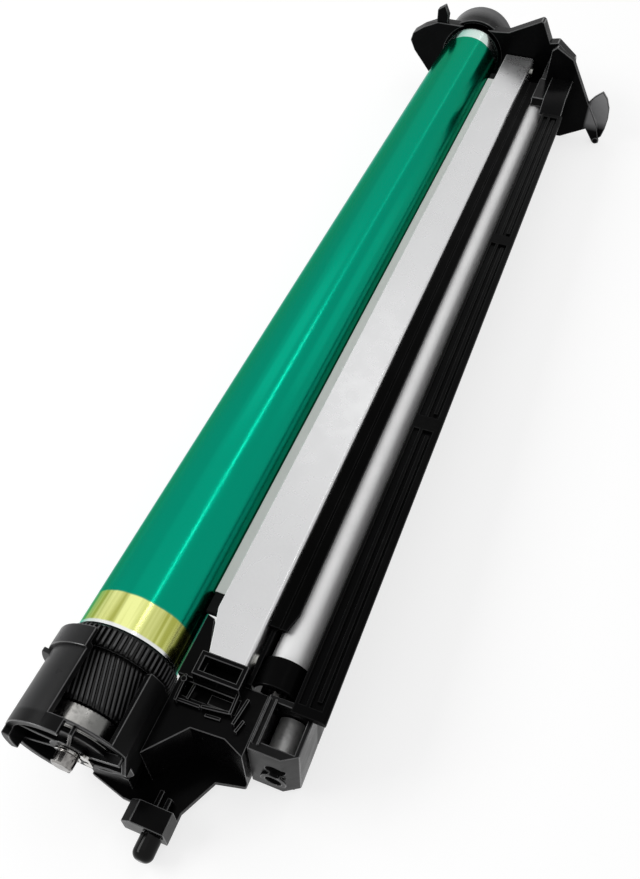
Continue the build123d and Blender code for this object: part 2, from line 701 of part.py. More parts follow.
def right_end_block():
    """Bearing block at the near outer corner, with a window over the steel coupling."""
    y1 = frame_y0
    outline = [(block_x0, block_y0), (frame_right - 4.2, block_y0), (frame_right, block_y0 + 2.6)]
    outline += [(frame_right, y1), (block_x0, y1)]
    body = plan(outline, floor_z, block_top)
    body += cyl(3.7, block_y0 - 0.8, block_y0, coupling_x - 0.4, coupling_z - 5.6)
    room_r = coupling_r + 0.6
    window_x0 = coupling_x - room_r
    window_x1 = coupling_x + room_r
    room_y0 = block_y0 + 2.6
    body -= block(window_x0, window_x1, room_y0, y1 - wall, coupling_z, block_top + 1)
    body -= cyl(room_r, room_y0, y1 - wall, coupling_x, coupling_z)
    under = coupling_z - room_r - wall
    body -= block(block_x0 + 1.8, frame_right - 1.8, block_y0 + 1.8, y1 + 1, floor_z - 1, under)
    body -= cyl(2.2 + 0.05, block_y0 + 1.4, room_y0, coupling_x, coupling_z)
    body -= cyl(2.7, block_y0 - 1, block_y0 + 1.5, coupling_x, coupling_z)
    body -= cyl(roller_shaft_r + 0.05, y1 - wall - 1, y1 + 1, coupling_x, coupling_z)
    body -= cyl(2.3, block_y0 - 1, block_y0 + 1.4, coupling_x - 0.4, coupling_z - 5.6)
    for x in (block_x0 + 0.2, block_x0 + 2.0):
        body += block(x, x + 0.7, block_y0 + 1.5, y1 - 1.0, block_top, block_top + 1.0)
    return body


far_left = [(-14.0, -13.0), (-22.0, -13.5), (-32.0, -2.0), (-34.5, 3.0), (-33.5, 7.0), (-28.0, 11.0)]
far_top = [(-20.5, 14.5), (-11.0, 14.5), (11.0, 14.5), (17.6, 15.2), (33.2, 23.2), (34.6, 22.6)]
far_right = [(39.6, 13.2), (43.5, 14.0), (53.4, 6.7), (54.4, 1.0), (54.4, -22.0), (-4.0, -22.0)]
wing_outline = [
    (43.0, 0.0),
    (43.6, 20.4),
    (46.0, 22.4),
    (55.0, 17.6),
    (66.7, -2.2),
    (73.5, -12.9),
    (76.4, floor_z),
    (73.2, floor_z),
    (68.4, -15.6),
    (56.6, floor_z),
    (43.0, floor_z),
]
fin_outline = [
    (66.2, -3.6),
    (69.0, 0.4),
    (72.3, 3.4),
    (75.2, 0.2),
    (77.3, -4.6),
    (78.0, -10.0),
    (77.7, -15.5),
    (76.8, -20.0),
    (75.4, -20.6),
]


def far_end_housing():
    """Moulded far end: round drum cap, eared plate, deep right-hand box and a splayed wing."""
    ear_y0 = tube_y1 + ear_gap
    ear_y1 = ear_y0 + 6.5
    plate = make_face(Polyline(*(far_left + far_top + far_right), close=True))
    body = cyl(cap_r, cap_y0, cap_y1)
    body += across(plate, ear_y0, ear_y1)
    tab = [(-21.2, 10.0), (-21.4, 20.4), (-17.6, 23.0), (-15.2, 18.4), (-15.4, 10.0)]
    body += across_points(tab, ear_y0 + 1.0, ear_y0 + 4.5)
    wing_y0 = frame_y1
    right_box = [(41.0, wing_y0), (frame_right, wing_y0), (frame_right, ear_y0), (41.0, ear_y0)]
    body += plan(right_box, floor_z, strip_z + 4.0)
    left_box = [(foot_x, wing_y0), (41.0, wing_y0), (41.0, ear_y0), (foot_x, ear_y0)]
    body += plan(left_box, floor_z, -6.0)
    body += block(24.4, bracket_x1 - bracket_t, bracket_y1 - 10.0, ear_y0, -7.0, bracket_under)
    body += across_points(wing_outline, wing_y0, wing_y0 + wing_t)
    body += across_points(fin_outline, wing_y0 + wing_t, wing_y0 + wing_t + 1.8)
    body += cyl(1.6, wing_y0 - 0.9, wing_y0 + 1, 74.6, floor_z + 1.6)
    back_y = ear_y0 + 0.5
    web = [(wing_y0 + 1, 0.0), (wing_y0 + 1, 14.0), (back_y, 6.0), (back_y, 0.0)]
    body += lengthwise(web, 46.5, 53.0)
    cover_z = strip_z + 0.2
    near = wing_y0 - rail_far
    for x0, x1, a, b, rise in (
        (strip_x1 + gap, rail_x0, near + 8, near + 10, 3.6),
        (rail_x0 - 2, rail_x1 - 1, near + gap, near + 9, 5.6),
    ):
        top = strip_z + rise
        body += lengthwise([(a, cover_z), (b, top), (wing_y0 + 1, top), (wing_y0 + 1, cover_z)], x0, x1)
    body -= cyl(drum_r + 0.8, wing_y0 - 1, cap_y0)
    room = cyl(cap_r - wall, cap_y0 - 0.1, far_bearing_y1 - 1)
    body -= room - cyl(bearing_r + wall, cap_y0 - 1, far_bearing_y1)
    body -= cyl(bearing_r + press, far_bearing_y0 - 1, far_bearing_y1)
    body -= cyl(shaft_r + 0.25, far_bearing_y1 - 1, cap_y1 + 1)
    body -= block(foot_x + wall, frame_right - wall, wing_y0 + wall, ear_y1 - wall, floor_z - 1, -8.0)
    body -= Pos(bracket_x1 - 3.6, screw_far_y, screw_z) * Rot(0, 90, 0) * Cylinder(1.2 + press, 4.2)
    return body - cyl(roller_shaft_r + shaft_fit, wing_y0 - 1, wing_y0 + wing_t, roller_x, roller_z)


def recovery_film():
    """Thin film along the frame's lip that catches what the blade scrapes off."""
    y0 = tube_y0 + blade_inset
    y1 = tube_y1 - blade_inset
    t = 0.3
    reach_x = math.sqrt(drum_r**2 - 6.4**2) + gap
    outline = [
        (lip_x - t, lip_top - 2.4),
        (lip_x, lip_top - 2.4),
        (lip_x, lip_top),
        (reach_x + t, -6.4),
        (reach_x, -6.4),
        (lip_x - t, lip_top),
    ]
    return across_points(outline, y0, y1)


parts = {
    "drum_tube": drum_tube(),
    "drive_flange": drive_flange(),
    "far_flange": far_flange(),
    "drum_shaft": drum_shaft(),
    "shaft_clip": shaft_clip(),
    "drive_bearing": ball_bearing(near_bearing_y0, near_bearing_y1),
    "far_bearing": ball_bearing(far_bearing_y0, far_bearing_y1),
    "earth_contact": earth_contact(),
    "gear_shroud": gear_shroud(),
    "near_end_housing": near_end_housing(),
    "locating_pin": locating_pin(),
    "right_end_block": right_end_block(),
    "coupling_shaft": coupling_shaft(),
    "coupling_gear": coupling_gear(),
    "idler_gear": idler_gear(),
    "idler_pin": idler_pin(),
    "auger": auger(),
    "auger_gear": auger_gear(),
    "steel_roller": steel_roller(),
    "roller_shaft": roller_shaft(),
    "roller_gear": roller_gear(),
    "roller_bearing_near": roller_bearing(roller_gear_y1 + gap, roller_y0 - gap),
    "roller_bearing_far": roller_bearing(roller_y1 + gap, frame_y1 - gap),
    "main_frame": main_frame(),
    "blade_bracket": blade_bracket(),
    "bracket_screws": bracket_screws(),
    "cleaning_blade": cleaning_blade(),
    "seal_foam_near": seal_foam(tube_y0 + blade_inset - foam_len, tube_y0 + blade_inset),
    "seal_foam_far": seal_foam(tube_y1 - blade_inset, tube_y1 - blade_inset + foam_len),
    "recovery_film": recovery_film(),
    "cover_strip": cover_strip(),
    "outer_rail": outer_rail(),
    "far_end_housing": far_end_housing(),
}

os.makedirs("parts", exist_ok=True)
for name, part in parts.items():
    export_step(part, f"parts/{name}.step")
    print(name, len(part.solids()), round(part.volume, 1))
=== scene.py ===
"""Printer drum unit: finishes, fine geometry, floor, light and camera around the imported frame."""

import logging
import math
from dataclasses import dataclass
from enum import Enum
from typing import Any, Optional, Sequence

import bmesh
import bpy
from mathutils import Matrix, Vector


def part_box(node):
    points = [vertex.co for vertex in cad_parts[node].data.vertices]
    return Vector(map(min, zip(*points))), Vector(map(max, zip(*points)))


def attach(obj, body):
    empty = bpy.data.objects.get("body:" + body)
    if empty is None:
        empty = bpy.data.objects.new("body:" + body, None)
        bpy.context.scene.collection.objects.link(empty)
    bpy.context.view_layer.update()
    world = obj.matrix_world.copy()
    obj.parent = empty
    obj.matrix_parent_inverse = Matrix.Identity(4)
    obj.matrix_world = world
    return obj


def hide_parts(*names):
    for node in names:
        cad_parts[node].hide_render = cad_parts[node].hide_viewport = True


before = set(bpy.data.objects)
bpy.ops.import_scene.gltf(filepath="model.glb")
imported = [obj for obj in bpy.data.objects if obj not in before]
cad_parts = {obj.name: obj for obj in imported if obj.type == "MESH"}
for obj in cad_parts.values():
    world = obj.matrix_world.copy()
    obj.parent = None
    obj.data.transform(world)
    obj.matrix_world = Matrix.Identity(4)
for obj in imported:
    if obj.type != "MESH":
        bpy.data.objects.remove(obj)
LOG = logging.getLogger("drum_unit")
MM = 0.001
Colour = tuple[float, float, float]
Point = tuple[float, float, float]
Outline = Sequence[tuple[float, float]]
Socket = bpy.types.NodeSocket

# Before its edges are rounded, a CAD mesh is welded and its coplanar facets are joined.
WELD = 0.003 * MM
COPLANAR = math.radians(0.6)
# Angles in degrees, over which an edge stays sharp in the shading.
SHARP_TURNED = 32.0
SHARP_MOULDED = 35.0
SHARP_TEETH = 60.0


class Grain(Enum):
    """How the surface of a finish is broken up."""

    MOULD = "mould"
    BRUSHED = "brushed"
    TURNED = "turned"
    GROUND = "ground"
    CELL = "cell"
    PLAIN = "plain"


class Body(Enum):
    """The rigid bodies that the pieces made here ride on."""

    HOUSING = "housing"
    DRUM = "drum"


def grey(level: float, blue: Optional[float] = None) -> Colour:
    """A near neutral colour, colder or warmer by its blue where one is given.

    Args:
        level: Red and green.
        blue: Blue, or None for the same level.

    Returns:
        The colour.
    """
    return level, level, level if blue is None else blue


class Shader:
    """A node material under construction, with short calls for the nodes that finishes share."""

    def __init__(self, name: str) -> None:
        """Start a material.

        Args:
            name: Name of the material.
        """
        self.material = bpy.data.materials.new(name)
        self.material.use_nodes = True
        self.tree = self.material.node_tree
        self.tree.nodes.clear()
        self.output = self.node("OutputMaterial")
        self.surface = self.node("BsdfPrincipled")
        self.tree.links.new(self.surface.outputs[0], self.output.inputs["Surface"])
        self.place = self.node("TexCoord").outputs["Object"]

    def node(self, kind: str, **settings: Any) -> bpy.types.Node:
        """Add a node.

        Args:
            kind: Shader node type, without its common prefix.
            settings: Properties to set on the node.

        Returns:
            The new node.
        """
        made = self.tree.nodes.new("ShaderNode" + kind)
        for key, value in settings.items():
            setattr(made, key, value)
        return made

    def feed(self, node: bpy.types.Node, **values: Any) -> bpy.types.Node:
        """Set or link a node's inputs.

        Args:
            node: Node to fill.
            values: Constants or sockets, by the input's name with underscores for its spaces, or
                by its index as i0, i1 and so on.

        Returns:
            The same node.
        """
        for key, value in values.items():
            by_index = key[0] == "i" and key[1:].isdigit()
            socket = node.inputs[int(key[1:]) if by_index else key.replace("_", " ")]
            if isinstance(value, Socket):
                self.tree.links.new(value, socket)
            else:
                socket.default_value = value
        return node

    def axes(self) -> Any:
        """Split the object coordinates.

        Returns:
            The sockets X, Y and Z.
        """
        return self.feed(self.node("SeparateXYZ"), Vector=self.place).outputs

    def stretched(self, scale: Point) -> Socket:
        """Scale the object coordinates per axis, for grain that runs one way.

        Args:
            scale: Factor along each axis.

        Returns:
            The scaled coordinates.
        """
        return self.feed(self.node("Mapping"), Vector=self.place, Scale=scale).outputs[0]

    def noise(self, scale: float, detail: float = 3.0, place: Optional[Socket] = None) -> Socket:
        """A noise factor.

        Args:
            scale: Cells per metre.
            detail: Octaves.
            place: Coordinates, or None for plain object coordinates.

        Returns:
            The factor socket.
        """
        made = self.node("TexNoise")
        self.feed(made, Vector=place or self.place, Scale=scale, Detail=detail)
        return made.outputs["Fac"]

    def span(
        self, value: Socket, low: float, high: float, out_low: float = 0.0, out_high: float = 1.0
    ) -> Socket:
        """Map a value from one range to another, clamped.

        Args:
            value: Input socket.
            low: Start of the input range.
            high: End of the input range.
            out_low: Result at low.
            out_high: Result at high.

        Returns:
            The mapped socket.
        """
        made = self.node("MapRange")
        self.feed(made, Value=value, From_Min=low, From_Max=high, To_Min=out_low, To_Max=out_high)
        return made.outputs["Result"]

    def sums(self, operation: str, first: Any, second: Any) -> Socket:
        """Take one arithmetic step.

        Args:
            operation: Kind of step.
            first: Value or socket.
            second: Value or socket.

        Returns:
            The result.
        """
        return self.feed(self.node("Math", operation=operation), i0=first, i1=second).outputs[0]

    def length(self, vector: Socket) -> Socket:
        """Measure a vector.

        Args:
            vector: Vector socket.

        Returns:
            Its length.
        """
        made = self.feed(self.node("VectorMath", operation="LENGTH"), i0=vector)
        return made.outputs["Value"]

    def blend(self, share: Socket, first: Any, second: Any) -> Socket:
        """Blend two colours, whose inputs are the mix node's numbers 6 and 7.

        Args:
            share: Share of the second colour.
            first: Colour or socket.
            second: Colour or socket.

        Returns:
            The blended colour socket.
        """
        ends = [value if isinstance(value, Socket) else (*value, 1.0) for value in (first, second)]
        made = self.node("Mix", data_type="RGBA")
        return self.feed(made, i0=share, i6=ends[0], i7=ends[1]).outputs[2]

    def relief(self, height: Socket, strength: float, depth: float) -> Socket:
        """A bumped normal.

        Args:
            height: Height factor.
            strength: Share of the full effect.
            depth: Depth in metres.

        Returns:
            The normal socket.
        """
        made = self.feed(self.node("Bump"), Height=height, Strength=strength, Distance=depth)
        return made.outputs[0]

    def done(self, **values: Any) -> bpy.types.Material:
        """Set the surface shader's inputs.

        Args:
            values: Constants or sockets by input name, with the base colour among them.

        Returns:
            The finished material.
        """
        if isinstance(values["Base_Color"], tuple):
            values["Base_Color"] = (*values["Base_Color"], 1.0)
        self.feed(self.surface, **values)
        return self.material


@dataclass(frozen=True)
class PaintedTone:
    """A second colour that takes over along one axis, and from a height up where one is set; each
    use here paints light or shade fixed to the part, as a painted highlight or painted shade.
    """

    axis: str
    start: float
    end: float
    colour: Colour
    floor: float = -1.0
    soft: float = 1.0 * MM

    def blend(self, shader: Shader, tint: Socket) -> Socket:
        """Lay the tone over a colour.

        Args:
            shader: Material under construction.
            tint: Colour below.

        Returns:
            The blended colour.
        """
        axes = shader.axes()
        share = shader.span(axes[self.axis], self.start, self.end)
        above = shader.span(axes["Z"], self.floor, self.floor + self.soft)
        return shader.blend(shader.sums("MULTIPLY", share, above), tint, self.colour)


@dataclass(frozen=True)
class Noise:
    """The noise that makes the relief of a grain."""

    scale: float
    detail: float = 2.0
    stretch: Optional[Point] = None


GRAIN_NOISE = {
    Grain.MOULD: Noise(3400.0, 4.0),
    Grain.BRUSHED: Noise(1.0, stretch=(5200.0, 60.0, 5200.0)),
    Grain.TURNED: Noise(1.0, stretch=(90.0, 5200.0, 90.0)),
    Grain.GROUND: Noise(2600.0),
    Grain.PLAIN: Noise(350.0),
}
FOAM_CELLS = 2300.0
SPECKS = 900.0
GLOSS_PATCHES = 120.0
# The part of each noise that counts, and for the specks the shares that it stands for.
NOISE_RANGE = (0.3, 0.7)
CLOUD_RANGE = (0.42, 0.72)
SPECK_RANGE = (0.35, 0.75, 0.25, 1.0)
GRAIN_STRENGTH = 0.35
GLOSSIER = 0.06
DULLER = 0.07
LEAST_ROUGHNESS = 0.03
TIP_FADE = 0.12 * MM
# Painted highlight on gear tooth tips, far lighter than the black gear.
TIP_HIGHLIGHT = grey(0.075, 0.077)


@dataclass(frozen=True)
class Finish:
    """A surface finish for moulded plastic, metal or rubber."""

    name: str
    colour: Colour
    worn: Colour
    roughness: float
    metallic: float = 0.0
    specular: float = 0.5
    grain: Grain = Grain.MOULD
    depth: float = 0.03 * MM
    tones: tuple[PaintedTone, ...] = ()
    tips: tuple[tuple[float, float], ...] = ()
    mottle: float = 55.0

    def height(self, shader: Shader) -> Socket:
        """The fine relief of the grain.

        Args:
            shader: Material under construction.

        Returns:
            A height factor.
        """
        if self.grain is Grain.CELL:
            cells = shader.feed(shader.node("TexVoronoi"), Vector=shader.place, Scale=FOAM_CELLS)
            return cells.outputs["Distance"]
        noise = GRAIN_NOISE[self.grain]
        place = shader.stretched(noise.stretch) if noise.stretch else None
        return shader.noise(noise.scale, noise.detail, place)

    def tip_highlight_share(self, shader: Shader) -> Socket:
        """Where tooth tips about the drum axis get a painted highlight.

        Args:
            shader: Material under construction.

        Returns:
            Share of the painted tip highlight, from bands of radius.
        """
        axes = shader.axes()
        flat = shader.feed(shader.node("CombineXYZ"), X=axes["X"], Y=axes["Z"])
        reach = shader.length(flat.outputs[0])
        total = None
        for low, high in self.tips:
            rise = shader.span(reach, low, low + TIP_FADE)
            fall = shader.span(reach, high, high + TIP_FADE, 1.0, 0.0)
            band = shader.sums("MULTIPLY", rise, fall)
            total = band if total is None else shader.sums("ADD", total, band)
        return total

    def material(self) -> bpy.types.Material:
        """Build the node material.

        Returns:
            The material.
        """
        shader = Shader(self.name)
        cloud = shader.span(shader.noise(self.mottle, 5.0), *CLOUD_RANGE)
        speck = shader.span(shader.noise(SPECKS), *SPECK_RANGE)
        tint = shader.blend(shader.sums("MULTIPLY", cloud, speck), self.colour, self.worn)
        # The tones paint highlights and shade fixed to the part.
        for tone in self.tones:
            tint = tone.blend(shader, tint)
        # Painted highlight on the tooth tips, in the bands of radius given by tips.
        if self.tips:
            tint = shader.blend(self.tip_highlight_share(shader), tint, TIP_HIGHLIGHT)
        glossy = max(LEAST_ROUGHNESS, self.roughness - GLOSSIER)
        dull = self.roughness + DULLER
        return shader.done(
            Base_Color=tint,
            Metallic=self.metallic,
            Roughness=shader.span(shader.noise(GLOSS_PATCHES, 4.0), *NOISE_RANGE, glossy, dull),
            Specular_IOR_Level=self.specular,
            Normal=shader.relief(self.height(shader), GRAIN_STRENGTH, self.depth),
        )


@dataclass(frozen=True)
class DrumCoating:
    """The drum's coloured coating, in bands along its length."""

    name: str
    start: float
    end: float
    green: Colour = (0.0, 0.25, 0.155)
    green_cloud: Colour = (0.0, 0.205, 0.122)
    yellow: Colour = (0.74, 0.77, 0.3)
    yellow_streak: Colour = (0.36, 0.38, 0.075)
    bare: Colour = (0.72, 0.73, 0.72)
    edge_tint: Colour = (0.12, 0.6, 0.45)
    rim_band: float = 0.9 * MM
    yellow_band: float = 9.9 * MM
    far_band: float = 9.5 * MM
    blur: float = 0.22 * MM
    wander: float = 0.12 * MM
    roughness: tuple[float, float] = (0.17, 0.22)

    def material(self) -> bpy.types.Material:
        """Build the banded material.

        Returns:
            The material.
        """
        shader = Shader(self.name)
        wander = shader.span(shader.noise(160.0, 2.0), *NOISE_RANGE, -self.wander, self.wander)
        along = shader.sums("ADD", shader.axes()["Y"], wander)
        cloud = shader.noise(26.0, 3.0, shader.stretched((1.0, 0.12, 1.0)))
        clouds = shader.span(cloud, 0.35, 0.65, 0.0, 0.22)
        green = shader.blend(clouds, self.green, self.green_cloud)
        streak = shader.noise(1.0, 3.0, shader.stretched((330.0, 9.0, 330.0)))
        streaks = shader.span(streak, 0.38, 0.62)
        yellow = shader.blend(streaks, self.yellow, self.yellow_streak)
        tint = self.bare
        for place, band in (
            (self.start + self.rim_band, yellow),
            (self.start + self.yellow_band, green),
            (self.end - self.far_band, self.bare),
        ):
            share = shader.span(along, place - self.blur, place + self.blur)
            tint = shader.blend(share, tint, band)
        brushed = shader.noise(1.0, 2.0, shader.stretched((60.0, 900.0, 60.0)))
        return shader.done(
            Base_Color=tint,
            Metallic=1.0,
            Roughness=shader.span(shader.noise(60.0), *NOISE_RANGE, *self.roughness),
            Specular_IOR_Level=0.5,
            Specular_Tint=(*self.edge_tint, 1.0),
            Coat_Weight=0.04,
            Coat_Roughness=0.05,
            Normal=shader.relief(brushed, 0.12, 0.01 * MM),
        )


def moulding(
    name: str, colour: Colour, worn: Colour, roughness: float, specular: float, **more: Any
) -> Finish:
    """The finish of a moulded part, with the fine texture of its tool.

    Args:
        name: Name of the material.
        colour: Main colour.
        worn: Colour of its cloudy patches.
        roughness: Mean roughness.
        specular: Strength of its reflections.
        more: Other values of the finish.

    Returns:
        The finish.
    """
    return Finish(name, colour, worn, roughness, specular=specular, depth=0.012 * MM, **more)


# Painted highlights on the far end housing: its outer fin grey from X 66.8 mm and above Z -16 mm,
# and the cap's rear rim grey from Y 408 mm and above Z 0.
FAR_PAINTED_HIGHLIGHTS = (
    PaintedTone("X", 66.8 * MM, 68.2 * MM, grey(0.3, 0.305), -16.0 * MM, 4.0 * MM),
    PaintedTone("Y", 408.0 * MM, 416.0 * MM, grey(0.14, 0.142), 0.0, 14.0 * MM),
)
# Painted shade on the gear shroud: darker towards +X from X -15 mm, and near black where Y falls
# from 4.9 to 4.2 mm and below.
SHROUD_PAINTED_SHADE = (
    PaintedTone("X", -15.0 * MM, -1.0 * MM, grey(0.004, 0.0042)),
    PaintedTone("Y", 4.9 * MM, 4.2 * MM, grey(0.003, 0.0032)),
)
# Painted dark reflection on the bearing rings: darker towards +X from X -1 to 7 mm.
BEARING_PAINTED_DARK_REFLECTION = (PaintedTone("X", -1.0 * MM, 7.0 * MM, (0.14, 0.14, 0.135)),)
# Radius bands of the drive gear's tooth tips that get the painted highlight.
DRIVE_TIP_HIGHLIGHTS = ((13.5 * MM, 13.9 * MM), (15.85 * MM, 16.3 * MM))

HOUSING = moulding("housing_black", grey(0.0018, 0.002), grey(0.005, 0.0052), 0.22, 0.035)
FAR_HOUSING = moulding(
    "far_black", grey(0.0018, 0.002), grey(0.006, 0.0062), 0.24, 0.035, tones=FAR_PAINTED_HIGHLIGHTS
)
BLOCK = moulding("block_black", grey(0.006, 0.0062), grey(0.016, 0.0165), 0.28, 0.07)
SHROUD = moulding(
    "shroud_grey", grey(0.036, 0.037), grey(0.05, 0.051), 0.32, 0.07, tones=SHROUD_PAINTED_SHADE
)
FRAME = moulding("frame_black", grey(0.0015, 0.0016), grey(0.004), 0.3, 0.02)
RAIL = moulding("rail_black", grey(0.0018, 0.0019), grey(0.005), 0.3, 0.02)
STRIP = moulding("strip_black", grey(0.001), grey(0.003), 0.4, 0.012)
# Bevel faces of the black mouldings: partly rubbed wear, partly a painted highlight that stands in
# for glints along the edges.
EDGE_GLINT_AND_WEAR = Finish(
    "edge_glint_and_wear", grey(0.045, 0.046), grey(0.13, 0.132), 0.24,
    specular=0.45, grain=Grain.PLAIN, depth=0.01 * MM,
)
# The same for frame, rail and strip, dimmer: a faint painted highlight with some wear along their
# edges.
DIM_EDGE_GLINT_AND_WEAR = Finish(
    "edge_dim_glint_and_wear", grey(0.004, 0.0041), grey(0.016), 0.26,
    specular=0.06, grain=Grain.PLAIN, depth=0.01 * MM,
)
GEAR = Finish(
    "gear_black", grey(0.003, 0.0032), grey(0.012), 0.17, specular=0.25, depth=0.008 * MM
)
DRIVE_GEAR = Finish(
    "drive_gear_black", grey(0.003, 0.0032), grey(0.01), 0.17,
    specular=0.23, depth=0.008 * MM, tips=DRIVE_TIP_HIGHLIGHTS,
)
AUGER = Finish("auger_dark", grey(0.01), (0.04, 0.038, 0.036), 0.38, specular=0.15)
PIN = Finish("pin_gloss", grey(0.0015), grey(0.003), 0.06, specular=0.12, grain=Grain.PLAIN)
SHAFT = Finish(
    "shaft_ground", (0.3, 0.29, 0.28), (0.07, 0.066, 0.062), 0.2, 1.0,
    grain=Grain.TURNED, depth=0.01 * MM, mottle=420.0,
)
SPRING = Finish(
    "spring_bright", (0.55, 0.54, 0.52), (0.25, 0.24, 0.23), 0.16, 1.0,
    grain=Grain.BRUSHED, depth=0.01 * MM,
)
BEARING = Finish(
    "bearing_ground", (0.5, 0.49, 0.47), (0.015, 0.015, 0.014), 0.24, 1.0,
    grain=Grain.TURNED, depth=0.02 * MM, tones=BEARING_PAINTED_DARK_REFLECTION, mottle=330.0,
)
COUPLING = Finish(
    "coupling_turned", grey(0.46, 0.455), grey(0.14), 0.5, 0.5, grain=Grain.GROUND, mottle=240.0
)
ROLLER = Finish(
    "roller_ground", grey(0.76), grey(0.68), 0.5, 0.3, grain=Grain.GROUND, depth=0.001 * MM
)
ZINC = Finish(
    "bracket_zinc", grey(0.57, 0.575), grey(0.545, 0.55), 0.28, 0.8,
    grain=Grain.GROUND, depth=0.0005 * MM,
)
# Painted highlight along the blade bracket's rounded edges, near white against the zinc.
BRACKET_EDGE_HIGHLIGHT = Finish(
    "bracket_edge_highlight", grey(0.95), grey(0.9), 0.5, 0.3, grain=Grain.GROUND, depth=0.002 * MM
)
SCREW = Finish(
    "screw_zinc", grey(0.3, 0.28), grey(0.15, 0.14), 0.26, 1.0,
    grain=Grain.TURNED, depth=0.01 * MM,
)
URETHANE = Finish(
    "blade_urethane", (0.95, 0.94, 0.92), (0.88, 0.87, 0.85), 0.4,
    specular=0.25, grain=Grain.PLAIN,
)
FOAM = Finish(
    "seal_foam_black", grey(0.012), grey(0.03), 0.9,
    specular=0.08, grain=Grain.CELL, depth=0.15 * MM,
)
FILM = Finish("film_smoke", grey(0.02), grey(0.04), 0.12, specular=0.2, grain=Grain.PLAIN)


def placed(name: str, data: Any) -> bpy.types.Object:
    """Put a new object into the scene.

    Args:
        name: Name of the object.
        data: Its mesh, light or camera.

    Returns:
        The object.
    """
    made = bpy.data.objects.new(name, data)
    bpy.context.scene.collection.objects.link(made)
    return made


def dress(node: str, material: bpy.types.Material) -> None:
    """Give a CAD node its material.

    Args:
        node: Name of the node.
        material: Material to use on all its slots.
    """
    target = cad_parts[node]
    target.data.materials.clear()
    target.data.materials.append(material)
    LOG.info("%s carries %s", node, material.name)


def piece(
    name: str, mesh: bpy.types.Mesh, body: Body, material: Optional[bpy.types.Material], slot: str
) -> bpy.types.Object:
    """Make a mesh a piece of the unit.

    Args:
        name: Name of the piece.
        mesh: Its mesh, in the unit's frame.
        body: Body that it rides on.
        material: Material, or None to keep the mesh's own.
        slot: The record's material slot; not used.

    Returns:
        The new object.
    """
    made = placed(name, mesh)
    if material is not None:
        mesh.materials.clear()
        mesh.materials.append(material)
    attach(made, body.value)
    LOG.info("%s: %d faces on %s", name, len(mesh.polygons), body.value)
    return made


def settled(holder: bpy.types.Object) -> bpy.types.Mesh:
    """Take the plain mesh of an object with its modifiers, and remove the object.

    Args:
        holder: Object with live modifiers.

    Returns:
        The evaluated mesh.
    """
    depsgraph = bpy.context.evaluated_depsgraph_get()
    mesh = bpy.data.meshes.new_from_object(holder.evaluated_get(depsgraph))
    bpy.data.objects.remove(holder)
    return mesh


def smooth(mesh: bpy.types.Mesh, angle: float) -> None:
    """Shade a mesh smooth, with its sharp edges kept.

    Args:
        mesh: Mesh to shade.
        angle: Angle in degrees, over which an edge stays sharp.
    """
    mesh.polygons.foreach_set("use_smooth", [True] * len(mesh.polygons))
    mesh.set_sharp_from_angle(angle=math.radians(angle))


def flat_faces(mesh: bpy.types.Mesh) -> bpy.types.Mesh:
    """Keep large faces flat in the shading, so that only the rounded edges turn.

    Args:
        mesh: Mesh with its sharp edges marked.

    Returns:
        The mesh with its normals weighted by face area.
    """
    holder = placed(mesh.name + "_holder", mesh)
    weighted = holder.modifiers.new("flat_faces", "WEIGHTED_NORMAL")
    weighted.keep_sharp = True
    return settled(holder)


def bevelled(name: str, mesh: bpy.types.Mesh, **settings: Any) -> bpy.types.Mesh:
    """Round the edges of a mesh and shade it.

    Args:
        name: Name of the part.
        mesh: Its sharp mesh.
        settings: Properties of the bevel.

    Returns:
        The rounded mesh.
    """
    holder = placed(name + "_holder", mesh)
    bevel = holder.modifiers.new("broken_edges", "BEVEL")
    for key, value in settings.items():
        setattr(bevel, key, value)
    result = settled(holder)
    smooth(result, SHARP_MOULDED)
    return flat_faces(result)


@dataclass
class BrokenEdges:
    """A copy of a moulded or cut node whose sharp edges are rounded, as a real tool leaves them."""

    node: str
    finish: bpy.types.Material
    slot: str
    # Material of the bevel faces, which paints a highlight along the rounded edges.
    edge: Optional[bpy.types.Material] = None
    radius: float = 0.26 * MM
    angle: float = 35.0
    segments: int = 2

    def sharp_mesh(self) -> bpy.types.Mesh:
        """Copy the node's mesh with its facets joined and its convex edges marked.

        Returns:
            The mesh, ready for the bevel.
        """
        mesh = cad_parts[self.node].data.copy()
        shape = bmesh.new()
        shape.from_mesh(mesh)
        bmesh.ops.remove_doubles(shape, verts=shape.verts, dist=WELD)
        bmesh.ops.dissolve_limit(
            shape, angle_limit=COPLANAR, use_dissolve_boundaries=False,
            verts=shape.verts, edges=shape.edges,
        )
        weight = shape.edges.layers.float.new("bevel_weight_edge")
        limit = math.radians(self.angle)
        for line in shape.edges:
            if len(line.link_faces) == 2 and line.is_convex and line.calc_face_angle() > limit:
                line[weight] = 1.0
        shape.to_mesh(mesh)
        shape.free()
        if "custom_normal" in mesh.attributes:
            mesh.attributes.remove(mesh.attributes["custom_normal"])
        return mesh

    def build(self) -> bpy.types.Object:
        """Make the rounded copy and let it stand for the node.

        Returns:
            The piece.
        """
        mesh = self.sharp_mesh()
        mesh.materials.clear()
        mesh.materials.append(self.finish)
        own = -1
        if self.edge is not None:
            mesh.materials.append(self.edge)
            own = 1
        result = bevelled(
            self.node, mesh, width=self.radius, segments=self.segments, limit_method="WEIGHT",
            use_clamp_overlap=False, miter_outer="MITER_SHARP", material=own,
        )
        made = piece(self.node + "_moulded", result, Body.HOUSING, None, self.slot)
        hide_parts(self.node)
        return made


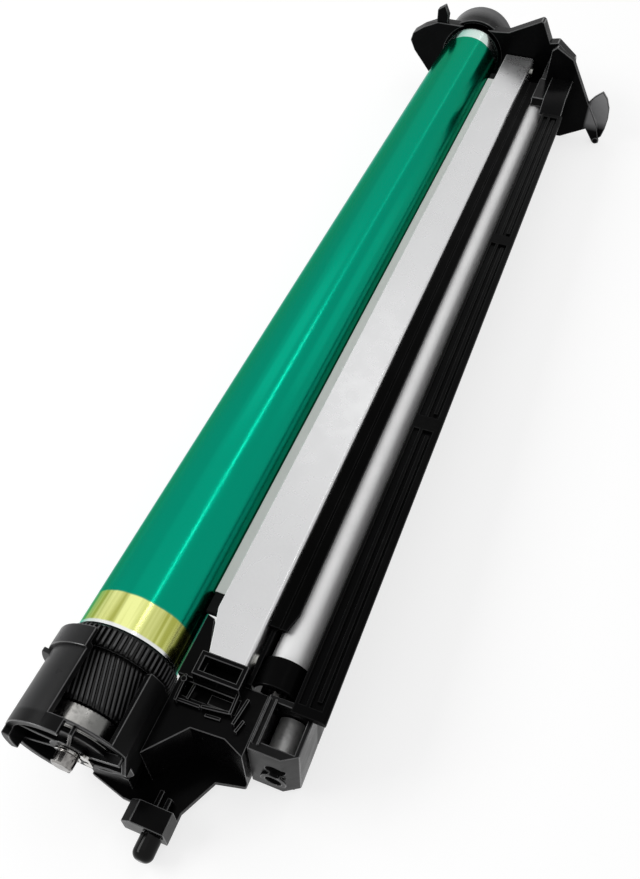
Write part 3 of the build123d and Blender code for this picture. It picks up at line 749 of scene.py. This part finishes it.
class Tree:
    """A geometry node tree under construction."""

    def __init__(self, name: str, inputs: dict[str, str]) -> None:
        """Start a tree with a geometry output and named inputs.

        Args:
            name: Name of the tree.
            inputs: Input name to kind of socket.
        """
        self.tree = bpy.data.node_groups.new(name, "GeometryNodeTree")
        face = self.tree.interface
        self.keys: dict[str, str] = {}
        for label, kind in inputs.items():
            socket = face.new_socket(name=label, in_out="INPUT", socket_type="NodeSocket" + kind)
            self.keys[label] = socket.identifier
        face.new_socket(name="Geometry", in_out="OUTPUT", socket_type="NodeSocketGeometry")
        self.source = self.tree.nodes.new("NodeGroupInput")
        self.sink = self.tree.nodes.new("NodeGroupOutput")

    def given(self, label: str) -> Socket:
        """Find a named input of the tree.

        Args:
            label: Name of the input.

        Returns:
            Its socket.
        """
        return self.source.outputs[label]

    def node(
        self, kind: str, inputs: Optional[dict[Any, Any]] = None, **settings: Any
    ) -> bpy.types.Node:
        """Add a node and fill its inputs.

        Args:
            kind: Full node type.
            inputs: Input name or index to constant or socket.
            settings: Properties of the node.

        Returns:
            The node.
        """
        made = self.tree.nodes.new(kind)
        for key, value in settings.items():
            setattr(made, key, value)
        for key, value in (inputs or {}).items():
            if isinstance(value, Socket):
                self.tree.links.new(value, made.inputs[key])
            else:
                made.inputs[key].default_value = value
        return made

    def math(self, operation: str, first: Any, second: Any = 0.0, third: Any = 0.0) -> Socket:
        """Take one arithmetic step.

        Args:
            operation: Kind of step.
            first: Value or socket.
            second: Value or socket.
            third: Value or socket.

        Returns:
            The result.
        """
        values = {0: first, 1: second, 2: third}
        return self.node("ShaderNodeMath", values, operation=operation).outputs[0]

    def span(
        self, value: Socket, given: tuple[float, float], wanted: tuple[float, float], form: str
    ) -> Socket:
        """Map a value from one range to another, clamped.

        Args:
            value: Input socket.
            given: Input range.
            wanted: Output range.
            form: Kind of interpolation.

        Returns:
            The mapped socket.
        """
        ranges = dict(zip(("From Min", "From Max", "To Min", "To Max"), (*given, *wanted)))
        made = self.node("ShaderNodeMapRange", {"Value": value, **ranges}, interpolation_type=form)
        return made.outputs[0]

    def switch(self, test: Socket, no: Any, yes: Any) -> Socket:
        """Choose one of two numbers.

        Args:
            test: 0 or 1.
            no: Result for 0.
            yes: Result for 1.

        Returns:
            The chosen number.
        """
        values = {0: test, 2: no, 3: yes}
        return self.node("ShaderNodeMix", values, data_type="FLOAT").outputs[0]

    def finish(self, geometry: Socket) -> None:
        """End the tree in realised instances with the material set.

        Args:
            geometry: Geometry to give out.
        """
        real = self.node("GeometryNodeRealizeInstances", {"Geometry": geometry})
        dressed = self.node(
            "GeometryNodeSetMaterial",
            {"Geometry": real.outputs[0], "Material": self.given("Finish")},
        )
        self.tree.links.new(dressed.outputs[0], self.sink.inputs[0])

    def run(self, name: str, values: dict[str, Any]) -> bpy.types.Mesh:
        """Evaluate the tree once.

        Args:
            name: Name for the mesh.
            values: Input name to value.

        Returns:
            The plain mesh.
        """
        holder = placed(name + "_holder", bpy.data.meshes.new(name))
        modifier = holder.modifiers.new(name, "NODES")
        modifier.node_group = self.tree
        for label, value in values.items():
            modifier[self.keys[label]] = value
        mesh = settled(holder)
        mesh.name = name
        return mesh


# Tooth form: where between the gap's middle, 0, and the tooth's middle, 0.5, a flank rises, and
# where between the rim's middle, 0, and its ends, 0.5, the teeth fall off, and how far.
FLANK_RANGE = (0.15, 0.34)
CROWN_RANGE = (0.46, 0.5)
CROWN_HEIGHTS = (1.0, 0.8)


def toothed_ring_tree() -> Tree:
    """The tree of a gear rim: a wrapped grid whose radius follows the tooth form.

    The grid's first and last row lie on the hub radius and close the rim at both ends.

    Returns:
        The tree.
    """
    kinds = dict.fromkeys(("Teeth", "Steps", "Rows"), "Int")
    kinds |= dict.fromkeys(("Tip", "Root", "Hub", "Start", "Width", "Twist", "Phase"), "Float")
    tree = Tree("toothed_ring", {**kinds, "Finish": "Material"})
    calc, given = tree.math, tree.given
    steps, rows = given("Steps"), given("Rows")
    columns = calc("MULTIPLY", given("Teeth"), steps)
    wide = calc("ADD", columns, 1.0)
    sides = {"Size X": 1.0, "Size Y": 1.0, "Vertices X": wide, "Vertices Y": rows}
    grid = tree.node("GeometryNodeMeshGrid", sides)
    index = tree.node("GeometryNodeInputIndex").outputs[0]
    column = calc("FLOOR", calc("DIVIDE", index, rows))
    row = calc("MODULO", index, rows)
    last = calc("SUBTRACT", rows, 1.0)
    is_first = calc("LESS_THAN", row, 0.5)
    is_last = calc("GREATER_THAN", row, calc("SUBTRACT", last, 0.5))
    inner = calc("MAXIMUM", is_first, is_last)
    level = calc("DIVIDE", calc("SUBTRACT", row, 1.0), calc("SUBTRACT", last, 2.0))
    level = calc("MINIMUM", calc("MAXIMUM", level, 0.0), 1.0)
    step = calc("DIVIDE", calc("MODULO", column, steps), steps)
    from_gap = calc("ABSOLUTE", calc("SUBTRACT", step, 0.5))
    flank = tree.span(from_gap, FLANK_RANGE, (0.0, 1.0), "SMOOTHSTEP")
    from_middle = calc("ABSOLUTE", calc("SUBTRACT", level, 0.5))
    crown = tree.span(from_middle, CROWN_RANGE, CROWN_HEIGHTS, "LINEAR")
    tall = calc("SUBTRACT", given("Tip"), given("Root"))
    toothed = calc("MULTIPLY_ADD", calc("MULTIPLY", flank, crown), tall, given("Root"))
    radius = tree.switch(inner, toothed, given("Hub"))
    turn = calc("MULTIPLY", calc("DIVIDE", column, columns), 2.0 * math.pi)
    turn = calc("ADD", turn, calc("MULTIPLY_ADD", level, given("Twist"), given("Phase")))
    spot = {
        "X": calc("MULTIPLY", radius, calc("COSINE", turn)),
        "Y": calc("MULTIPLY_ADD", level, given("Width"), given("Start")),
        "Z": calc("MULTIPLY", radius, calc("SINE", turn)),
    }
    position = tree.node("ShaderNodeCombineXYZ", spot).outputs[0]
    put = {"Geometry": grid.outputs[0], "Position": position}
    wrapped = tree.node("GeometryNodeSetPosition", put).outputs[0]
    weld = {"Geometry": wrapped, "Distance": 0.001 * MM}
    tree.finish(tree.node("GeometryNodeMergeByDistance", weld).outputs[0])
    return tree


def outward(mesh: bpy.types.Mesh) -> bpy.types.Mesh:
    """Point all faces outwards.

    Args:
        mesh: Closed mesh.

    Returns:
        The same mesh.
    """
    shape = bmesh.new()
    shape.from_mesh(mesh)
    bmesh.ops.recalc_face_normals(shape, faces=shape.faces)
    shape.to_mesh(mesh)
    shape.free()
    return mesh


def turned(name: str, outline: Outline, steps: int = 96) -> bpy.types.Mesh:
    """Turn a closed ring about the drum axis.

    Args:
        name: Name of the mesh.
        outline: Points of radius and Y, in metres.
        steps: Facets round the axis.

    Returns:
        The mesh, smooth but for its corners.
    """
    count = len(outline)
    verts = []
    for i in range(steps):
        a = 2 * math.pi * i / steps
        verts += [(r * math.cos(a), y, r * math.sin(a)) for r, y in outline]
    faces = []
    for i in range(steps):
        for j in range(count):
            k = (j + 1) % count
            n = (i + 1) % steps
            faces.append((i * count + j, i * count + k, n * count + k, n * count + j))
    mesh = bpy.data.meshes.new(name)
    mesh.from_pydata(verts, [], faces)
    mesh.validate()
    outward(mesh)
    smooth(mesh, SHARP_TURNED)
    return mesh


def rounded(outline: Outline, radius: float, steps: int = 3, most: float = 0.45) -> Outline:
    """Round the corners of a closed outline.

    Args:
        outline: Corner points.
        radius: Corner radius.
        steps: Facets in each corner.
        most: Largest share of an edge that a corner may take up.

    Returns:
        The rounded outline.
    """
    result = []
    count = len(outline)
    for i in range(count):
        before, here, after = (Vector(outline[(i + d) % count]) for d in (-1, 0, 1))
        a, b = before - here, after - here
        reach = min(radius, a.length * most, b.length * most)
        start, end = here + a.normalized() * reach, here + b.normalized() * reach
        for s in range(steps + 1):
            t = s / steps
            p = start.lerp(here, t).lerp(here.lerp(end, t), t)
            result.append((p.x, p.y))
    return result


@dataclass
class DrumAssembly:
    """The drum tube with its flanges, gears, shaft and clip. Angles are in degrees."""

    teeth: int = 62
    tooth_steps: int = 12
    helical_rows: int = 14
    helical_tip: float = 13.6 * MM
    helical_pitch: float = 13.175 * MM
    helical_root: float = 12.665 * MM
    helical_hub: float = 7.9 * MM
    helical_width: float = 14.0 * MM
    helix: float = 16.0
    gear_gap: float = 0.15 * MM
    ring_rows: int = 8
    ring_tip: float = 16.0 * MM
    ring_root: float = 14.9 * MM
    ring_hub: float = 3.4 * MM
    ring_width: float = 5.0 * MM
    ring_phase: float = -29.27
    bore: float = 3.05 * MM
    boss: float = 5.6 * MM
    boss_rise: float = 2.0 * MM
    web: float = 9.5 * MM
    spigot_bore: float = 11.0 * MM
    spigot: float = 14.1 * MM
    overlap: float = 0.2 * MM

    def tube(self) -> None:
        """Dress the coated tube and its far flange."""
        low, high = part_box("drum_tube")
        dress("drum_tube", DrumCoating("drum_coating", low.y, high.y).material())
        dress("far_flange", GEAR.material())

    def flange(self) -> None:
        """Build the drive flange: helical gear, ring gear, hub and spigot."""
        tree = toothed_ring_tree()
        finish = DRIVE_GEAR.material()
        low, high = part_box("drive_flange")
        start = low.y
        middle = start + self.helical_width
        face = middle + self.ring_width
        twist = self.helical_width * math.tan(math.radians(self.helix)) / self.helical_pitch
        rims = {
            "helical_gear": {
                "Rows": self.helical_rows, "Tip": self.helical_tip, "Root": self.helical_root,
                "Hub": self.helical_hub, "Start": start,
                "Width": self.helical_width - self.gear_gap,
                "Twist": twist, "Phase": math.pi / 2 - twist,
            },
            "ring_gear": {
                "Rows": self.ring_rows, "Tip": self.ring_tip, "Root": self.ring_root,
                "Hub": self.ring_hub, "Start": middle, "Width": self.ring_width,
                "Twist": 0.0, "Phase": math.radians(self.ring_phase),
            },
        }
        same = {"Teeth": self.teeth, "Steps": self.tooth_steps, "Finish": finish}
        for name, values in rims.items():
            mesh = outward(tree.run(name, {**same, **values}))
            smooth(mesh, SHARP_TEETH)
            made = piece(name, mesh, Body.DRUM, None, "gear_plastic")
            if name == "helical_gear":
                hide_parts("drive_flange")
        rise, sunk = start + self.boss_rise, middle + self.overlap
        hub = [
            (self.bore, start), (self.boss, start), (self.boss, rise),
            (self.web, rise), (self.web, sunk), (self.bore, sunk),
        ]
        root = face - self.overlap
        spigot = [
            (self.spigot_bore, root), (self.spigot, root),
            (self.spigot, high.y), (self.spigot_bore, high.y),
        ]
        for name, outline, corner in (
            ("flange_hub", hub, 0.3 * MM),
            ("flange_spigot", spigot, 0.4 * MM),
        ):
            mesh = turned(name, rounded(outline, corner))
            piece(name, mesh, Body.DRUM, finish, "gear_plastic")

    def build(self) -> None:
        """Build the whole drum."""
        self.tube()
        self.flange()
        dress("drum_shaft", SHAFT.material())
        dress("shaft_clip", SPRING.material())


@dataclass
class Bearings:
    """The two ball bearings, as ground rings with a sunk shield between them."""

    bore: float = 3.03 * MM
    outer: float = 9.5 * MM
    seat: float = 12.0 * MM
    lip: float = 0.9 * MM
    sink: float = 0.35 * MM
    corner: float = 0.25 * MM

    def ring(self, name: str, node: str, outer: float, finish: bpy.types.Material) -> None:
        """Build one bearing.

        Args:
            name: Name of the piece.
            node: CAD node that it stands for.
            outer: Its outer radius, with its steel seat ring where that shows.
            finish: Its material.
        """
        low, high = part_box(node)
        a, b = low.y, high.y
        within, without = self.bore + self.lip, outer - self.lip
        outline = [
            (self.bore, a), (within, a), (within, a + self.sink), (without, a + self.sink),
            (without, a), (outer, a), (outer, b), (without, b),
            (without, b - self.sink), (within, b - self.sink), (within, b), (self.bore, b),
        ]
        mesh = turned(name, rounded(outline, self.corner))
        made = piece(name, mesh, Body.HOUSING, finish, "bearing_steel")
        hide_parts(node)

    def build(self) -> None:
        """Build both bearings."""
        finish = BEARING.material()
        self.ring("drive_bearing_rings", "drive_bearing", self.seat, finish)
        self.ring("far_bearing_rings", "far_bearing", self.outer, finish)


@dataclass
class Carrier:
    """The moulded frame, rail, strip and both ends, with their edges rounded."""

    radius: float = 0.26 * MM
    soft_radius: float = 0.4 * MM
    fine_radius: float = 0.15 * MM

    def build(self) -> None:
        """Round and dress each moulding."""
        # The edge materials paint a highlight along the rounded edges, with some rubbed wear.
        edge, dim = EDGE_GLINT_AND_WEAR.material(), DIM_EDGE_GLINT_AND_WEAR.material()
        for node, finish, slot, rim, radius in (
            ("gear_shroud", SHROUD, "shroud_plastic", edge, self.radius),
            ("near_end_housing", HOUSING, "housing_plastic", edge, self.radius),
            ("right_end_block", BLOCK, "housing_plastic", edge, self.radius),
            ("far_end_housing", FAR_HOUSING, "housing_plastic", edge, self.soft_radius),
            ("main_frame", FRAME, "frame_plastic", dim, self.radius),
            ("outer_rail", RAIL, "rail_plastic", dim, self.radius),
            ("cover_strip", STRIP, "strip_plastic", dim, self.fine_radius),
        ):
            BrokenEdges(node, finish.material(), slot, rim, radius).build()
        dress("locating_pin", PIN.material())


@dataclass
class DeckWalls:
    """The low walls, post and catch that stand on the near end's deck, moulded with it.

    Each run gives x and y of both ends and the height, in mm, with y from the tube's near edge.
    """

    edge_y: float = 30.7 * MM
    root_z: float = -0.4 * MM
    thick: float = 0.45 * MM
    radius: float = 0.22 * MM
    runs: tuple[tuple[float, float, float, float, float], ...] = (
        (18.6, -0.6, 18.9, -7.2, 2.4),
        (18.9, -6.9, 25.2, -6.7, 1.6),
        (26.4, -6.6, 33.8, -5.6, 2.2),
        (33.8, -5.6, 33.6, -0.7, 2.4),
        (28.0, -7.9, 31.4, -7.6, 0.9),
        (36.6, -1.0, 35.6, -7.6, 2.2),
        (37.6, -6.4, 36.9, -9.0, 1.6),
        (21.6, -2.0, 21.4, -5.4, 1.2),
    )

    def build(self) -> None:
        """Raise each wall as a closed prism and round its edges."""
        shape = bmesh.new()
        for x0, y0, x1, y1, tall in self.runs:
            a = Vector((x0 * MM, self.edge_y + y0 * MM))
            b = Vector((x1 * MM, self.edge_y + y1 * MM))
            along = (b - a).normalized() * self.thick
            side = Vector((-along.y, along.x))
            plan = [a - along - side, b + along - side, b + along + side, a - along + side]
            low = [shape.verts.new((p.x, p.y, self.root_z)) for p in plan]
            top = [shape.verts.new((p.x, p.y, tall * MM)) for p in plan]
            shape.faces.new(top)
            shape.faces.new(low[::-1])
            for i in range(4):
                k = (i + 1) % 4
                shape.faces.new((low[i], low[k], top[k], top[i]))
        mesh = bpy.data.meshes.new("deck_walls")
        bmesh.ops.recalc_face_normals(shape, faces=shape.faces)
        shape.to_mesh(mesh)
        shape.free()
        mesh.materials.append(HOUSING.material())
        # The bevel faces get the edge material: rubbed wear with a painted highlight.
        mesh.materials.append(EDGE_GLINT_AND_WEAR.material())
        result = bevelled("deck_walls", mesh, width=self.radius, segments=2, material=1)
        piece("deck_walls", result, Body.HOUSING, None, "housing_plastic")


@dataclass
class CleaningUnit:
    """Blade, bracket, screws, seals and film."""

    press: float = 0.5 * MM
    face_depth: float = 0.5 * MM

    def pressed(self, pad: bpy.types.Object) -> None:
        """Let the near foam pad fill out to the ledge's end, as soft foam does.

        Args:
            pad: The near pad's piece.
        """
        low = min(vert.co.y for vert in pad.data.vertices)
        for vert in pad.data.vertices:
            if vert.co.y < low + self.face_depth:
                vert.co.y -= self.press

    def build(self) -> None:
        """Dress and build the cleaning pieces."""
        # cut is the bracket's edge material: a painted highlight along its edges.
        zinc, cut = ZINC.material(), BRACKET_EDGE_HIGHLIGHT.material()
        BrokenEdges("blade_bracket", zinc, "bracket_steel", cut, 0.2 * MM, 50.0).build()
        BrokenEdges("cleaning_blade", URETHANE.material(), "urethane", radius=0.1 * MM).build()
        dress("bracket_screws", SCREW.material())
        dress("recovery_film", FILM.material())
        foam = FOAM.material()
        for end in ("near", "far"):
            pad = "seal_foam_" + end
            made = BrokenEdges(pad, foam, "seal_foam", radius=0.35 * MM, segments=3).build()
            if end == "near":
                self.pressed(made)


@dataclass
class DriveTrain:
    """Idler, auger, roller and coupling with their wheels, bearings and pins."""

    finishes: tuple[tuple[Finish, tuple[str, ...]], ...] = (
        (GEAR, ("idler_gear", "auger_gear", "roller_gear", "coupling_gear")),
        (FRAME, ("roller_bearing_near", "roller_bearing_far")),
        (SHAFT, ("idler_pin", "roller_shaft")),
        (AUGER, ("auger",)),
        (ROLLER, ("steel_roller",)),
        (COUPLING, ("coupling_shaft",)),
        (SPRING, ("earth_contact",)),
    )

    def build(self) -> None:
        """Dress each group of nodes in its finish."""
        for finish, nodes in self.finishes:
            material = finish.material()
            for node in nodes:
                dress(node, material)


@dataclass(frozen=True)
class Lamp:
    """A rectangular soft light, with its size given as width, and length along the unit."""

    name: str
    place: Point
    aim: Point
    size: tuple[float, float]
    watts: float

    def hang(self) -> None:
        """Put the lamp into the scene and face it to its aim."""
        data = bpy.data.lights.new(self.name, "AREA")
        data.shape = "RECTANGLE"
        data.size, data.size_y = self.size
        data.energy = self.watts
        made = placed(self.name, data)
        made.location = self.place
        back = (Vector(self.place) - Vector(self.aim)).normalized()
        side = Vector((0, 1, 0)).cross(back).normalized()
        axes = Matrix((side, back.cross(side), back)).transposed()
        made.rotation_mode = "QUATERNION"
        made.rotation_quaternion = axes.to_quaternion()


LAMPS = (
    Lamp("ceiling", (-0.165, 0.92, 0.66), (-0.165, 0.74, -0.02), (0.7, 1.8), 0.75),
    Lamp("streak", (0.2, 0.58, 0.7), (0.2, 0.58, 0.0), (0.024, 0.56), 0.42),
    Lamp("streak_far", (0.2, 1.4, 0.7), (0.2, 1.4, 0.0), (0.03, 1.1), 0.16),
    Lamp("patch", (-0.16, 0.76, 0.66), (-0.16, 0.76, 0.0), (0.3, 0.34), 0.14),
    Lamp("right", (1.0, 1.4, 0.62), (0.0, 0.3, 0.0), (0.5, 0.5), 0.25),
    Lamp("left", (-0.65, -0.1, 0.5), (0.0, 0.0, 0.0), (0.35, 0.6), 4.0),
)


def backdrop_rays(tree: bpy.types.NodeTree) -> Socket:
    """Tell the rays that see the backdrop from those that only light the unit.

    Args:
        tree: Tree of a material or world.

    Returns:
        1 for camera, glossy and transmission rays.
    """
    path = tree.nodes.new("ShaderNodeLightPath")
    seen = path.outputs["Is Camera Ray"]
    for kind in ("Is Glossy Ray", "Is Transmission Ray"):
        either = tree.nodes.new("ShaderNodeMath")
        either.operation = "MAXIMUM"
        tree.links.new(seen, either.inputs[0])
        tree.links.new(path.outputs[kind], either.inputs[1])
        seen = either.outputs[0]
    return seen


def show_mixed(tree: bpy.types.NodeTree, output: bpy.types.Node, *parts: Socket) -> None:
    """Send a mix of two shaders to a tree's output.

    Args:
        tree: Tree of a material or world.
        output: Its output node.
        parts: Share of the second shader, first shader and second shader.
    """
    mix = tree.nodes.new("ShaderNodeMixShader")
    for index, part in enumerate(parts):
        tree.links.new(part, mix.inputs[index])
    tree.links.new(mix.outputs[0], output.inputs["Surface"])


@dataclass
class Studio:
    """Pale floor, soft light and the camera at the photograph's angle."""

    floor_z: float = -22.02 * MM
    floor_half: float = 6.0
    floor_grey: float = 0.9
    floor_glow: float = 1.2
    fade_reach: tuple[float, float] = (0.9, 2.6)
    fade_shares: tuple[float, float] = (0.6, 1.0)
    light: float = 0.45
    backdrop: float = 1.0
    eye: Point = (0.0852, -0.0441, 0.2092)
    look: Point = (-0.233, 0.600, -0.765)
    lens: float = 34.07
    sensor: float = 36.0
    nearest: float = 0.01

    def floor(self) -> None:
        """Lay a pale floor that keeps the unit's shadow and grows white away from it."""
        mesh = bpy.data.meshes.new("floor")
        half = self.floor_half
        plan = ((-half, -half), (half, -half), (half, half), (-half, half))
        mesh.from_pydata([(x, y, self.floor_z) for x, y in plan], [], [(0, 1, 2, 3)])
        shader = Shader("floor_white")
        glow = shader.feed(shader.node("Emission"), Color=(1, 1, 1, 1), Strength=self.floor_glow)
        away = shader.span(shader.length(shader.place), *self.fade_reach, *self.fade_shares)
        share = shader.sums("MULTIPLY", backdrop_rays(shader.tree), away)
        show_mixed(shader.tree, shader.output, share, shader.surface.outputs[0], glow.outputs[0])
        paint = shader.done(Base_Color=grey(self.floor_grey), Roughness=0.9, Specular_IOR_Level=0.0)
        mesh.materials.append(paint)
        placed("floor", mesh)

    def world(self) -> None:
        """Set a surround that shows white and lights the unit at a plainer level."""
        world = bpy.data.worlds.new("surround")
        bpy.context.scene.world = world
        world.use_nodes = True
        tree = world.node_tree
        tree.nodes.clear()
        skies = []
        for strength in (self.light, self.backdrop):
            sky = tree.nodes.new("ShaderNodeBackground")
            sky.inputs["Color"].default_value = (1, 1, 1, 1)
            sky.inputs["Strength"].default_value = strength
            skies.append(sky.outputs[0])
        show_mixed(tree, tree.nodes.new("ShaderNodeOutputWorld"), backdrop_rays(tree), *skies)

    def camera(self) -> None:
        """Set the camera where the photograph was taken from."""
        data = bpy.data.cameras.new("camera")
        data.sensor_width = self.sensor
        data.lens = self.lens
        data.clip_start = self.nearest
        made = placed("camera", data)
        made.location = self.eye
        made.rotation_mode = "QUATERNION"
        made.rotation_quaternion = Vector(self.look).to_track_quat("-Z", "Y")
        bpy.context.scene.camera = made

    def build(self) -> None:
        """Set up floor, light and camera."""
        self.floor()
        self.world()
        for lamp in LAMPS:
            lamp.hang()
        self.camera()
        bpy.context.scene.view_settings.view_transform = "Standard"


def main() -> None:
    """Build every sub-assembly, then the studio."""
    logging.basicConfig(level=logging.INFO, format="%(name)s: %(message)s")
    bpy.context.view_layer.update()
    for kind in (DrumAssembly, Bearings, Carrier, DeckWalls, CleaningUnit, DriveTrain, Studio):
        kind().build()
        LOG.info("%s is built", kind.__name__)


if __name__ == "__main__":
    main()
